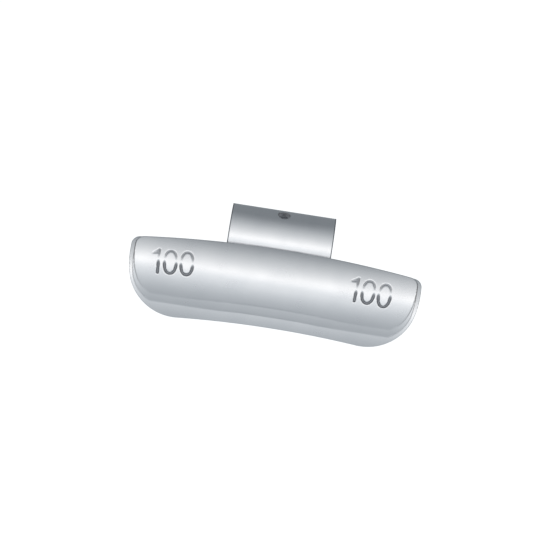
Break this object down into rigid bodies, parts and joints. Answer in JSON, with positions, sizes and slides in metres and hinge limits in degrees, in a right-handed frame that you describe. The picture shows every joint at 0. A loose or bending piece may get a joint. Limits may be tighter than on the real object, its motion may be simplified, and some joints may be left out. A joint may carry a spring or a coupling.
{
  "type": "wheel balance weight",
  "caption": "Curved cast block with a crowned front and stepped lower edge, held on a wheel rim's flange by a bent spring-steel clip.",
  "frame": {"origin": "centre of the clip's bend, half way along the block, which is where the rim flange's rounded edge sits", "axes": "+X along the block, +Z outwards from the wheel's axis towards the clip's crest, -Y the way the marked front face looks"},
  "size_m": [0.0884, 0.0233, 0.0371],
  "materials": {
    "zinc_coat": "satin silver-grey coating",
    "clip_steel": "smooth silver-grey coated spring steel"
  },
  "bodies": {
    "root": {"weight_body": "zinc_coat", "spring_clip": "clip_steel"}
  },
  "joints": []
}
